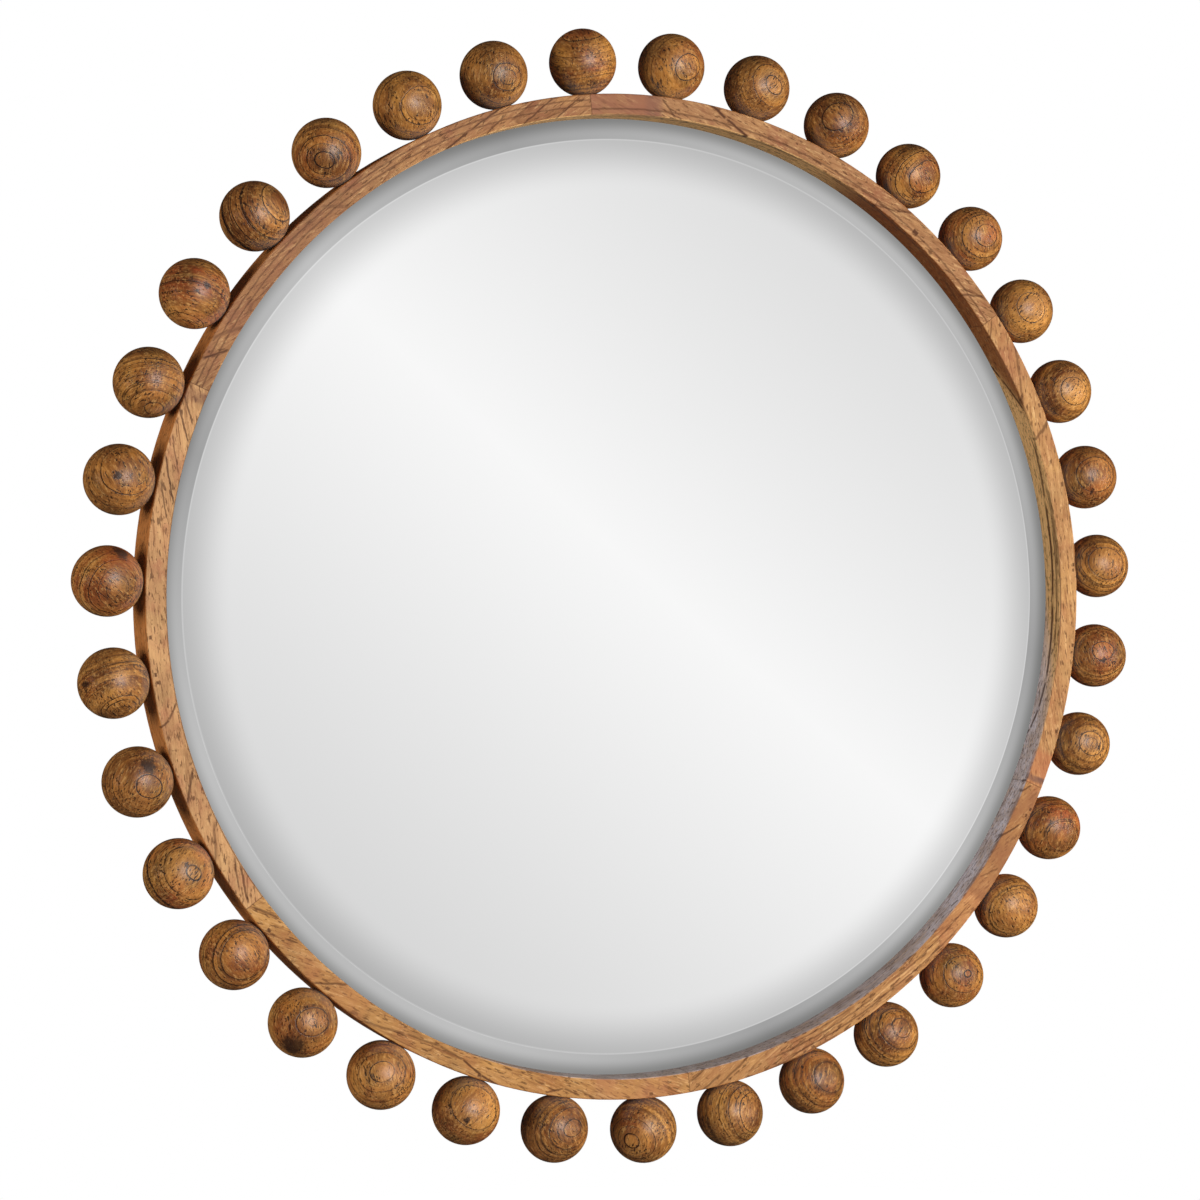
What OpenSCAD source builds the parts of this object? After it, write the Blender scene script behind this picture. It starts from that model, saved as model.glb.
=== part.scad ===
// Round wall mirror: a bevelled glass in a segmented wood ring, with turned wood balls round its edge.
// The origin is the centre of the ring's back face, in the plane of the wall.
// The mirror looks towards -Y, and +Z is up. Each piece is drawn lying on its back and then stood up.

/* [Ring] */
// Outer radius of the wood ring
ring_outer_r = 471; // [420:1:520]
// Width of the ring's front face
face_w = 19.5; // [17:0.5:28]
// Depth of the lip that stands in front of the glass
lip_depth = 28; // [25:0.5:38]
// Rounding of the ring's two front edges
front_edge_r = 1.5; // [0.5:0.25:3]
// Rounding of the ring's outer back edge
back_edge_r = 2; // [0.5:0.25:3]
// Number of curved segments glued end to end
segment_count = 6; // [4:1:8]
// Angle of the first joint between segments, anticlockwise from the right
first_joint_angle = 35.25; // [20:0.25:60]

/* [Balls] */
// Number of balls round the ring
ball_count = 35; // [24:1:38]
// Diameter of a ball
ball_d = 63; // [56:1:70]
// How deep a ball's round side is flattened where it sits on the ring
ball_seat_depth = 0.5; // [0.4:0.05:1]
// Distance from the ring's front face back to the middle of the balls
ball_setback = 13; // [11:0.5:15]
// Diameter of the dowel that holds a ball
ball_dowel_d = 8; // [6:0.5:9]
// Depth of the dowel's hole in the ring
ball_dowel_in_ring = 12; // [8:0.5:14]
// Depth of the dowel's hole in the ball
ball_dowel_in_ball = 18; // [12:1:24]

/* [Joints between segments] */
// Diameter of the dowels across a joint
joint_dowel_d = 6; // [4:0.5:6]
// Depth of the dowel's hole in each segment
joint_dowel_depth = 20; // [12:1:26]

/* [Glass] */
// Thickness of the glass
glass_t = 5; // [4:0.5:6]
// Thickness left at the glass's edge
glass_edge_t = 2; // [1.5:0.25:3]
// Width of the bevel
bevel_w = 25.4; // [18:0.2:32]
// How far the ring's lip covers the glass's edge
lip_cover = 6; // [4:0.5:7]
// Gap round the glass's edge, in the rebate
glass_side_gap = 1; // [0.5:0.25:1.5]
// Gap between the bevel and the back corner of the lip
glass_seat_gap = 0.2; // [0.1:0.05:0.4]

/* [Back board] */
// Thickness of the board
board_t = 9; // [6:0.5:10]
// Gap round the board's edge, in the rebate
board_side_gap = 1; // [0.5:0.25:2]
// Thickness of the foam tape between board and glass
tape_t = 1; // [0.5:0.1:1.5]
// Width of a strip of tape
tape_w = 25; // [15:1:40]
// Number of strips
tape_count = 5; // [3:1:7]
// Distance from one strip to the next
tape_spacing = 130; // [60:5:130]
// Distance from a strip's corners to the glass's edge
tape_edge_margin = 40; // [20:1:80]

/* [Board clips] */
// Number of angle clips round the board
clip_count = 12; // [6:1:16]
// Angle of the first clip, anticlockwise from the right
first_clip_angle = 15; // [0:1:30]
// Width of a clip
clip_w = 14; // [10:1:20]
// Thickness of a clip's steel
clip_t = 1.2; // [1:0.1:1.5]
// Length of the foot on the board
clip_foot = 18; // [16:1:26]
// Length of the leg on the ring, from the board towards the wall
clip_leg = 8.5; // [7.5:0.5:14]
// Distance from the wall end of the leg to the wall
clip_wall_gap = 0.6; // [0.3:0.1:1]
// Distance from the leg to the screw in the foot
clip_screw_back = 11; // [9:0.5:12]

/* [Hangers] */
// Distance between the two hangers
hanger_spacing = 600; // [300:10:640]
// Height of the hangers' pivots over the mirror's centre
hanger_height = 200; // [0:5:240]
// Width of a hanger's strap
strap_w = 16; // [12:0.5:18]
// Thickness of the strap's steel
strap_t = 1.5; // [1.2:0.1:1.6]
// Length of the strap below the pivot, to the middle of its round end
strap_len = 48; // [44:1:60]
// Distance from the pivot to the upper screw
upper_screw_drop = 31; // [30:0.5:34]
// Diameter of the hanger ring's wire
wire_d = 3; // [2.5:0.1:3.2]
// Gap between the strap and each side of the hanger ring
eye_side_gap = 2.5; // [2.25:0.25:4]
// Straight length of the hanger ring's sides
eye_side = 5; // [2:0.5:6]
// Inside radius of the hanger ring's two corners
eye_corner_r = 2; // [1:0.25:2.25]
// Angle at which the hanging ring leans away from its strap
eye_lean = 2; // [2:0.5:4]
// Running clearance between the wire and the strap's rolled end
wire_fit = 0.08; // [0.05:0.01:0.1]

/* [Screws] */
// Radius of the screws' shank
screw_r = 1.5; // [1.25:0.05:1.75]
// Length under the head of the screws that go into the ring
ring_screw_len = 9; // [7:0.5:9]
// Board left between the point of a screw and the board's front
board_screw_cover = 1.5; // [1:0.25:2.5]
// Radius of the screws' head
screw_head_r = 2.5; // [2.3:0.1:2.8]
// Height of the screws' head
screw_head_h = 1.8; // [1.4:0.1:2]
// Radius of the head's flat top
screw_top_r = 2; // [1.6:0.1:2.2]
// Length of the arms of the cross recess in the head
recess_len = 3; // [2.4:0.1:3.2]
// Width of the arms of the cross recess
recess_w = 0.7; // [0.5:0.1:0.9]
// Depth of the cross recess
recess_depth = 0.9; // [0.6:0.1:1.1]
// Clearance round a shank or a dowel in its hole
hole_fit = 0.05; // [0.03:0.01:0.1]
// Room left at the bottom of a hole
hole_end_gap = 0.5; // [0.3:0.1:1]

/* [Hidden] */
// Radii of the ring and what sits in it
ring_inner_r = ring_outer_r - face_w;
glass_r = ring_inner_r + lip_cover;
rebate_r = glass_r + glass_side_gap;
board_r = rebate_r - board_side_gap;
bevel_inner_r = glass_r - bevel_w;
ball_r = ball_d / 2;
ball_circle_r = ring_outer_r + ball_r - ball_seat_depth;

// Heights over the wall, stacked from the clips forward to the ring's front face
board_back_z = clip_wall_gap + clip_leg;
board_front_z = board_back_z + board_t;
glass_back_z = board_front_z + tape_t;
glass_front_z = glass_back_z + glass_t;
drop_at_lip = (glass_t - glass_edge_t) * (ring_inner_r - bevel_inner_r) / bevel_w;
lip_z = glass_front_z - drop_at_lip + glass_seat_gap;
ring_depth = lip_z + lip_depth;
ball_z = ring_depth - ball_setback;

// The balls leave a gap at the top, so that the pattern is the same on the left and the right
ball_step = 360 / ball_count;
first_ball_angle = 90 + ball_step / 2;
ball_dowel_r = ball_dowel_d / 2;

// Joints: one dowel in the lip, behind the ball dowels, and one in the thin wall of the rebate
segment_sweep = 360 / segment_count;
joint_dowel_r = joint_dowel_d / 2;
lip_dowel_z = (lip_z + ball_z - ball_dowel_r) / 2;
wall_dowel_z = lip_z / 2;
lip_dowel_r = (ring_inner_r + ring_outer_r) / 2;
wall_dowel_r = (rebate_r + ring_outer_r) / 2;

// A clip's flat leg touches the round rebate wall with its two edges
clip_step = 360 / clip_count;
clip_face_r = sqrt(pow(rebate_r, 2) - pow(clip_w / 2, 2));
clip_foot_z = board_back_z - clip_t;
clip_screw_z = (clip_wall_gap + clip_foot_z) / 2;

// Hangers
wire_r = wire_d / 2;
knuckle_inner_r = wire_r + wire_fit;
knuckle_outer_r = knuckle_inner_r + strap_t;
pivot_z = board_back_z - knuckle_outer_r;
strap_z = board_back_z - strap_t;
eye_half_w = strap_w / 2 + eye_side_gap + wire_r;
eye_bend_r = eye_corner_r + wire_r;
strap_end_r = strap_w / 2;

// Screws into the board stop short of its front
foot_screw_len = clip_t + board_t - board_screw_cover;
strap_screw_len = strap_t + board_t - board_screw_cover;
screw_tip_r = 0.2;

// Faces of a round at the usual size, on the large rings and on the small rods
$fn = 96;
smooth = 240;
small = 48;
// How far a cutting shape stands past the face that it cuts
bite = 1;
// How near to a segment's end, in degrees, a hole may lie in the next segment and still cut this one
straddle = 1;

function number(i) = i < 10 ? str("0", i) : str(i);
function segment_name(i) = str("ring_segment_", i);
function ball_name(i) = str("ball_", number(i));
function ball_angle(i) = first_ball_angle - (i - 1) * ball_step;
function joint_angle(i) = first_joint_angle + (i - 1) * segment_sweep;
function clip_angle(i) = first_clip_angle + (i - 1) * clip_step;
function tape_x(i) = (i - (tape_count + 1) / 2) * tape_spacing;
// How far one angle lies from another, from 0 to 180
function apart(a, b) = abs(((a - b) % 360 + 540) % 360 - 180);

SEGMENTS = [for (i = [1:segment_count]) segment_name(i)];
BALLS = [for (i = [1:ball_count]) ball_name(i)];

// Stands a piece up: its height over the wall becomes depth, and its top points up
module on_wall() {
    rotate([90, 0, 0]) children();
}

// Turns a piece round the mirror's centre, with its X axis pointing outwards at that angle
module at_angle(a) {
    rotate([0, 0, a]) children();
}

// What is cut away to round a corner that points to the upper right
module corner_waste(r) {
    difference() {
        square([r + bite, r + bite]);
        circle(r, $fn = small);
    }
}

// Cross-section of the ring: radius to the right, height over the wall upwards
module ring_profile() {
    difference() {
        translate([ring_inner_r, 0]) square([face_w, ring_depth]);
        translate([ring_inner_r - bite, -bite]) square([rebate_r - ring_inner_r + bite, lip_z + bite]);
        translate([ring_outer_r - front_edge_r, ring_depth - front_edge_r]) corner_waste(front_edge_r);
        translate([ring_inner_r + front_edge_r, ring_depth - front_edge_r])
            mirror([1, 0]) corner_waste(front_edge_r);
        translate([ring_outer_r - back_edge_r, back_edge_r]) mirror([0, 1]) corner_waste(back_edge_r);
    }
}

// A cylinder along the outward direction, from one radius to another
module outward_rod(r, from, to) {
    translate([from, 0, 0]) rotate([0, 90, 0]) cylinder(r = r, h = to - from, $fn = small);
}

// The hole or the dowel of one ball, with the given clearances
module ball_dowel_shape(fit, end_gap) {
    translate([0, 0, ball_z])
        outward_rod(ball_dowel_r + fit, ring_outer_r - ball_dowel_in_ring + end_gap,
            ring_outer_r + ball_dowel_in_ball - end_gap);
}

// The two holes or dowels across one joint, with the given clearances
module joint_dowel_shapes(fit, end_gap) {
    half = joint_dowel_depth - end_gap;
    for (place = [[lip_dowel_r, lip_dowel_z], [wall_dowel_r, wall_dowel_z]])
        translate([place[0], half, place[1]])
            rotate([90, 0, 0]) cylinder(r = joint_dowel_r + fit, h = 2 * half, $fn = small);
}

// A screw that sits on its head's underside and points up, with a cross recess in the head
module screw(len) {
    point = screw_r;
    cylinder(r = screw_r, h = len - point, $fn = small);
    translate([0, 0, len - point]) cylinder(r1 = screw_r, r2 = screw_tip_r, h = point, $fn = small);
    difference() {
        translate([0, 0, -screw_head_h])
            cylinder(r1 = screw_top_r, r2 = screw_head_r, h = screw_head_h, $fn = small);
        for (turn = [0, 90])
            rotate([0, 0, turn])
                translate([-recess_len / 2, -recess_w / 2, -screw_head_h - bite])
                    cube([recess_len, recess_w, recess_depth + bite]);
    }
}

// The hole for a screw's shank, from the head's underside
module screw_hole(depth) {
    translate([0, 0, -bite]) cylinder(r = screw_r + hole_fit, h = depth + bite, $fn = small);
}

// Places of the screw through a clip's leg into the ring, and of the one through its foot into the board
module at_leg_screw() {
    translate([clip_face_r - clip_t, 0, clip_screw_z]) rotate([0, 90, 0]) children();
}

module at_foot_screw() {
    translate([clip_face_r - clip_t - clip_screw_back, 0, clip_foot_z]) children();
}

module ring_segment(i) {
    start = joint_angle(i);
    middle = start + segment_sweep / 2;
    color("peru")
    on_wall()
        difference() {
            at_angle(start) rotate_extrude(angle = segment_sweep, $fn = smooth) ring_profile();
            for (k = [1:ball_count])
                if (apart(ball_angle(k), middle) < segment_sweep / 2 + straddle)
                    at_angle(ball_angle(k)) ball_dowel_shape(hole_fit, 0);
            at_angle(start) joint_dowel_shapes(hole_fit, 0);
            at_angle(start + segment_sweep) joint_dowel_shapes(hole_fit, 0);
            for (k = [1:clip_count])
                if (apart(clip_angle(k), middle) < segment_sweep / 2 + straddle)
                    at_angle(clip_angle(k)) at_leg_screw() screw_hole(ring_screw_len + hole_end_gap);
        }
}

module ball(i) {
    color("sienna")
    on_wall()
        at_angle(ball_angle(i))
            difference() {
                translate([ball_circle_r, 0, ball_z]) sphere(ball_r);
                translate([ring_outer_r - ball_d, -ball_r, ball_z - ball_r]) cube(ball_d);
                ball_dowel_shape(hole_fit, 0);
            }
}

module ball_dowels() {
    color("burlywood")
    on_wall()
        for (i = [1:ball_count])
            at_angle(ball_angle(i)) ball_dowel_shape(0, hole_end_gap);
}

module joint_dowels() {
    color("burlywood")
    on_wall()
        for (i = [1:segment_count])
            at_angle(joint_angle(i)) joint_dowel_shapes(0, hole_end_gap);
}

module mirror_glass() {
    color("gainsboro")
    on_wall()
        rotate_extrude($fn = smooth)
            polygon([
                [0, glass_back_z],
                [glass_r, glass_back_z],
                [glass_r, glass_back_z + glass_edge_t],
                [bevel_inner_r, glass_front_z],
                [0, glass_front_z]
            ]);
}

module foam_tape() {
    color("dimgray")
    on_wall()
        for (i = [1:tape_count]) {
            corner_x = abs(tape_x(i)) + tape_w / 2;
            half = sqrt(pow(glass_r - tape_edge_margin, 2) - pow(corner_x, 2));
            translate([tape_x(i) - tape_w / 2, -half, board_front_z]) cube([tape_w, 2 * half, tape_t]);
        }
}

module backing_board() {
    color("saddlebrown")
    on_wall()
        difference() {
            translate([0, 0, board_back_z]) cylinder(r = board_r, h = board_t, $fn = smooth);
            for (k = [1:clip_count])
                at_angle(clip_angle(k)) at_foot_screw() screw_hole(foot_screw_len + hole_end_gap);
            at_hanger_screws() screw_hole(strap_screw_len + hole_end_gap);
        }
}

module board_clips() {
    color("silver")
    on_wall()
        for (k = [1:clip_count])
            at_angle(clip_angle(k))
                difference() {
                    union() {
                        translate([clip_face_r - clip_foot, -clip_w / 2, clip_foot_z])
                            cube([clip_foot, clip_w, clip_t]);
                        translate([clip_face_r - clip_t, -clip_w / 2, clip_wall_gap])
                            cube([clip_t, clip_w, clip_leg]);
                    }
                    at_leg_screw() screw_hole(clip_t + bite);
                    at_foot_screw() screw_hole(clip_t + bite);
                }
}

module clip_screws() {
    color("gold")
    on_wall()
        for (k = [1:clip_count])
            at_angle(clip_angle(k)) {
                at_leg_screw() screw(ring_screw_len);
                at_foot_screw() screw(foot_screw_len);
            }
}

// Places of the pivots: -1 is the left hanger, seen from the front, and 1 the right one
module at_pivot(side) {
    translate([side * hanger_spacing / 2, hanger_height, pivot_z]) children();
}

module at_hanger_screws(sides = [-1, 1]) {
    for (side = sides, drop = [upper_screw_drop, strap_len])
        translate([side * hanger_spacing / 2, hanger_height - drop, strap_z]) children();
}

module hanger_strap(side) {
    color("silver")
    on_wall()
        difference() {
            at_pivot(side) {
                translate([-strap_w / 2, 0, 0])
                    rotate([0, 90, 0]) cylinder(r = knuckle_outer_r, h = strap_w, $fn = small);
                translate([-strap_w / 2, -strap_len, knuckle_inner_r])
                    cube([strap_w, strap_len, strap_t]);
                translate([0, -strap_len, knuckle_inner_r]) cylinder(r = strap_end_r, h = strap_t);
            }
            at_pivot(side)
                translate([-strap_w / 2 - bite, 0, 0])
                    rotate([0, 90, 0]) cylinder(r = knuckle_inner_r, h = strap_w + 2 * bite, $fn = small);
            at_hanger_screws([side]) screw_hole(strap_t + bite);
        }
}

module hanger_screws() {
    color("gold")
    on_wall()
        at_hanger_screws() screw(strap_screw_len);
}

// A quarter or half turn of the wire, round the origin, from the start angle
module wire_bend(bend_r, start, sweep) {
    rotate([0, 0, start])
        rotate_extrude(angle = sweep) translate([bend_r, 0]) circle(wire_r, $fn = small);
}

// The D-shaped ring hangs from its straight bar, which lies in the strap's rolled end
module hanger_ring(side) {
    corner_x = eye_half_w - eye_bend_r;
    arc_y = -eye_bend_r - eye_side;
    color("gold")
    on_wall()
        at_pivot(side)
            rotate([eye_lean, 0, 0]) {
                translate([-corner_x, 0, 0])
                    rotate([0, 90, 0]) cylinder(r = wire_r, h = 2 * corner_x, $fn = small);
                translate([corner_x, -eye_bend_r, 0]) wire_bend(eye_bend_r, 0, 90);
                translate([-corner_x, -eye_bend_r, 0]) wire_bend(eye_bend_r, 90, 90);
                for (x = [-eye_half_w, eye_half_w])
                    translate([x, -eye_bend_r, 0])
                        rotate([90, 0, 0]) cylinder(r = wire_r, h = eye_side, $fn = small);
                translate([0, arc_y, 0]) wire_bend(eye_half_w, 180, 180);
            }
}

for (i = [1:segment_count])
    ring_segment(i);
for (i = [1:ball_count])
    ball(i);
ball_dowels();
joint_dowels();
mirror_glass();
foam_tape();
backing_board();
board_clips();
clip_screws();
hanger_strap(-1);  // hanger_strap_left
hanger_strap(1);  // hanger_strap_right
hanger_screws();
hanger_ring(-1);  // hanger_ring_left
hanger_ring(1);  // hanger_ring_right
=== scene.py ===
import math
import random

import bpy
from mathutils import Matrix, Vector

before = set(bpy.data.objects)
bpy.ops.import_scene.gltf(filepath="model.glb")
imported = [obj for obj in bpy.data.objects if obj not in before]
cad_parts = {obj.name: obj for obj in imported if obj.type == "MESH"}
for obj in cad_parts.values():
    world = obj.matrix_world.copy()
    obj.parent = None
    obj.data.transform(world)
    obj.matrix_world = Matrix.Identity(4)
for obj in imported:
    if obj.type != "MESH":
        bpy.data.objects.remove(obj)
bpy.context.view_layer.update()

# Sizes that the patterns follow, in metres. The ring's centre is the origin, and -Y is the front.
RING_OUTER = 0.471
RING_INNER = 0.4515
RING_DEPTH = 0.050
RING_MIDDLE = (RING_OUTER + RING_INNER) / 2
RING_WIDTH = RING_OUTER - RING_INNER
BEVEL_INNER = 0.4321
BALL_CIRCLE = 0.502
BALL_R = 0.0315
BALL_Y = -0.037
BALL_COUNT = 35

# Millimetres in a metre
MM = 1000

# The joints between the ring's segments, in degrees anticlockwise from the right
FIRST_JOINT = 35.25
SEGMENT_COUNT = 6
SEGMENT_SWEEP = 360 / SEGMENT_COUNT

# The photograph's view: from the left, level with the mirror's middle. The roll is in degrees.
CAMERA_PLACE = Vector((-1.0566, -2.6007, 0.0226))
CAMERA_AIM = (-0.0409, -0.050, -0.0022)
CAMERA_ROLL = -0.872
CAMERA_LENS = 88.34
CAMERA_SENSOR = 36.0

# Seeds of the random patterns. Each segment or ball adds its number.
RING_SEED = 40
BALL_SEED = 700

# The spacing of the year rings in the ring's wood and the height of all wood's bumps, in metres
YEAR_RING = 0.0048
GRAIN_RELIEF = 0.0004

NO_SHIFT = (0.0, 0.0, 0.0)


def colour(red, green, blue):
    """A colour given in screen values from 0 to 255, as the shaders want it."""
    screen = [value / 255 for value in (red, green, blue)]
    linear = [value / 12.92 if value <= 0.04045 else ((value + 0.055) / 1.055) ** 2.4 for value in screen]
    return tuple(linear + [1.0])


class Tree:
    """Adds nodes to a node tree. What a socket gets is a plain value or another node's output."""

    def __init__(self, tree):
        self.tree = tree

    def give(self, socket, value):
        if isinstance(value, bpy.types.NodeSocket):
            self.tree.links.new(value, socket)
        else:
            socket.default_value = value

    def fill(self, node, **inputs):
        """Gives a node's inputs their values, by their names with _ for a space."""
        for key, value in inputs.items():
            self.give(node.inputs[key.replace("_", " ")], value)

    def node(self, kind, settings=None, **inputs):
        made = self.tree.nodes.new("ShaderNode" + kind)
        for key, value in (settings or {}).items():
            setattr(made, key, value)
        self.fill(made, **inputs)
        return made

    def math(self, operation, a, b=0.0, c=0.0):
        made = self.node("Math", {"operation": operation})
        for socket, value in zip(made.inputs, (a, b, c)):
            self.give(socket, value)
        return made.outputs[0]

    def add(self, a, b):
        return self.math("ADD", a, b)

    def minus(self, a, b):
        return self.math("SUBTRACT", a, b)

    def times(self, a, b):
        return self.math("MULTIPLY", a, b)

    def linear(self, value, factor, offset):
        return self.math("MULTIPLY_ADD", value, factor, offset)

    def about(self, value, size):
        """A noise value from 0 to 1, turned into a swing of plus or minus half of size."""
        return self.linear(value, size, -size / 2)

    def length(self, a, b):
        return self.math("SQRT", self.add(self.math("POWER", a, 2.0), self.math("POWER", b, 2.0)))

    def step(self, value, low, high):
        """Rises smoothly from 0 to 1 between low and high, or falls if low is the larger."""
        made = self.node("MapRange", {"interpolation_type": "SMOOTHSTEP"}, Value=value)
        falls = low > high
        self.fill(made, From_Min=min(low, high), From_Max=max(low, high))
        self.fill(made, To_Min=1.0 if falls else 0.0, To_Max=0.0 if falls else 1.0)
        return made.outputs[0]

    def between(self, value, rise, fall):
        """1 inside a range and 0 outside it. Each end is a pair: where the value is 0, and where it is 1."""
        return self.times(self.step(value, *rise), self.step(value, *fall))

    def mix(self, factor, a, b):
        made = self.node("Mix", {"data_type": "RGBA"})
        for k, value in ((0, factor), (6, a), (7, b)):
            self.give(made.inputs[k], value)
        return made.outputs[2]

    def tint(self, base, where, strength, tone):
        """Lays a tone, given in screen values, over the base where a mask is 1."""
        return self.mix(self.times(where, strength), base, colour(*tone))

    def place(self):
        """The point on the part, in metres from its origin."""
        return self.node("TexCoord").outputs["Object"]

    def noise(self, vector, repeats, detail=2.0, roughness=0.5, shift=NO_SHIFT):
        """Noise from 0 to 1. The repeats are those per metre along each axis."""
        moved = self.node("Mapping", Vector=vector, Scale=repeats, Location=shift).outputs[0]
        return self.node("TexNoise", Vector=moved, Scale=1.0, Detail=detail, Roughness=roughness).outputs[0]

    def turned(self, vector, rotation):
        return self.node("Mapping", Vector=vector, Rotation=rotation).outputs[0]

    def vectors(self, operation, a, b):
        """The outputs of a calculation with two vectors."""
        made = self.node("VectorMath", {"operation": operation})
        self.give(made.inputs[0], a)
        self.give(made.inputs[1], b)
        return made.outputs

    def split(self, vector):
        return self.node("SeparateXYZ", Vector=vector).outputs[:3]

    def bump(self, height, strength, distance):
        return self.node("Bump", Height=height, Strength=strength, Distance=distance).outputs[0]


def material(name):
    """A new material, its tree and its Principled shader."""
    made = bpy.data.materials.new(name)
    made.use_nodes = True
    return made, Tree(made.node_tree), made.node_tree.nodes["Principled BSDF"]


def new_group(name, inputs, outputs):
    """A new node group, its tree, the values it is given and its results.

    The inputs and outputs are the sockets' names and kinds.
    """
    group = bpy.data.node_groups.new(name, "ShaderNodeTree")
    for sockets, way in ((inputs, "INPUT"), (outputs, "OUTPUT")):
        for socket, kind in sockets.items():
            group.interface.new_socket(socket, in_out=way, socket_type="NodeSocket" + kind)
    given = group.nodes.new("NodeGroupInput").outputs
    results = group.nodes.new("NodeGroupOutput").inputs
    return group, Tree(group), given, results


def put_on(made, nodes):
    """Gives CAD nodes a material."""
    for name in nodes:
        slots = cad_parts[name].data.materials
        slots.clear()
        slots.append(made)


def growth_lines(tree, field, spacing, seed, thickness=0.05):
    """Year rings across a field in metres: the darkening before each line, the line, and each ring's tone.

    The line at 0 is always drawn. The thickness is half of a line's, as a share of the spacing.
    """
    even = tree.math("DIVIDE", field, spacing)
    course = tree.add(tree.times(even, 0.8), seed)
    drift = tree.node("TexNoise", {"noise_dimensions": "1D"}, W=course, Scale=1.0, Detail=1.0).outputs[0]
    away = tree.math("MINIMUM", tree.math("ABSOLUTE", even), 1.0)
    turns = tree.add(even, tree.times(tree.about(drift, 1.0), away))
    half_on = tree.add(turns, 0.5)
    part = tree.math("FRACT", half_on)
    which = tree.math("FLOOR", half_on)
    first = tree.math("COMPARE", which, 0.0, 0.1)
    which = tree.add(which, seed)
    chance = tree.node("TexWhiteNoise", {"noise_dimensions": "1D"}, W=which).outputs["Value"]
    tone = tree.node("TexWhiteNoise", {"noise_dimensions": "1D"}, W=tree.add(which, 0.5)).outputs["Value"]
    apart = tree.math("DIVIDE", tree.math("ABSOLUTE", tree.minus(part, 0.5)), thickness)
    fade = tree.between(part, (0.0, 0.50), (0.56, 0.50))
    soft = tree.times(fade, tree.linear(chance, 0.7, 0.3))
    drawn = tree.math("MAXIMUM", tree.step(chance, 0.25, 0.75), first)
    sharp = tree.times(tree.step(apart, 1.0, 0.4), drawn)
    return soft, sharp, tone


def stroke_group():
    """A mark along a straight line on the ring: 1 on the line and 0 away from it.

    All its sizes are in millimetres: round the ring, out from its inner edge, and half the line's own length.
    """
    names = ("Round", "Out", "Middle Round", "Middle Out", "Cosine", "Sine", "Half", "Width")
    group, tree, given, results = new_group("stroke", dict.fromkeys(names, "Float"), {"Mask": "Float"})
    right = tree.minus(given["Round"], given["Middle Round"])
    up = tree.minus(given["Out"], given["Middle Out"])
    along = tree.add(tree.times(right, given["Cosine"]), tree.times(up, given["Sine"]))
    across = tree.minus(tree.times(up, given["Cosine"]), tree.times(right, given["Sine"]))
    side = tree.math("DIVIDE", tree.math("ABSOLUTE", across), given["Width"])
    end = tree.math("DIVIDE", tree.math("ABSOLUTE", along), given["Half"])
    tree.give(results["Mask"], tree.times(tree.step(side, 1.0, 0.25), tree.step(end, 1.0, 0.7)))
    return group


# Colours of the six segments' front, from the upper right one anticlockwise: plain, reddish and golden parts
SEGMENT_COLOURS = [
    ((162, 116, 78), (148, 94, 66), (184, 136, 90)),
    ((162, 114, 75), (148, 95, 65), (186, 134, 83)),
    ((204, 153, 104), (188, 128, 90), (220, 170, 114)),
    ((184, 133, 78), (170, 113, 68), (202, 149, 84)),
    ((172, 123, 76), (158, 103, 68), (192, 142, 86)),
    ((180, 132, 85), (164, 110, 72), (200, 152, 94)),
]

# The other colours of the ring's wood, with the painted light, painted shade and painted sheen of the inner
# wall
RING_TONES = {
    "drab": (150, 116, 72),
    "outer stain": (186, 114, 54),
    # Painted light, painted shade and two tones of a painted sheen on the inner wall
    "painted wall light": (255, 200, 132),
    "shaded wall": (140, 72, 28),
    "painted pale sheen": (240, 230, 238),
    "painted brown sheen": (204, 186, 182),
    "dark streak": (136, 88, 50),
    "light streak": (222, 174, 118),
    "late wood": (124, 76, 44),
    "year line": (88, 50, 28),
    "light fibre": (230, 186, 130),
    "dark fibre": (118, 74, 42),
    "pore": (84, 50, 28),
    "fleck": (92, 54, 32),
    "mark": (72, 38, 22),
    "seam": (70, 38, 22),
}

# Noise in the ring's wood: the repeats per metre along each axis, the detail and the roughness
RING_NOISE = {
    "wide": ((9, 9, 3), 2.0, 0.5),
    "fine": ((70, 70, 14), 2.0, 0.5),
    "fibre": ((410, 410, 75), 4.0, 0.78),
    "streak": ((260, 260, 14), 3.0, 0.65),
    "pores": ((500, 500, 105), 2.0, 0.5),
    "cloud": ((38, 38, 30), 4.0, 0.6),
    "gold": ((30, 46, 30), 4.0, 0.6),
    "fleck": ((260, 260, 260), 1.0, 0.5),
    "ragged round": ((110, 110, 110), 3.0, 0.5),
    "ragged out": ((130, 130, 130), 3.0, 0.5),
}

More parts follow.
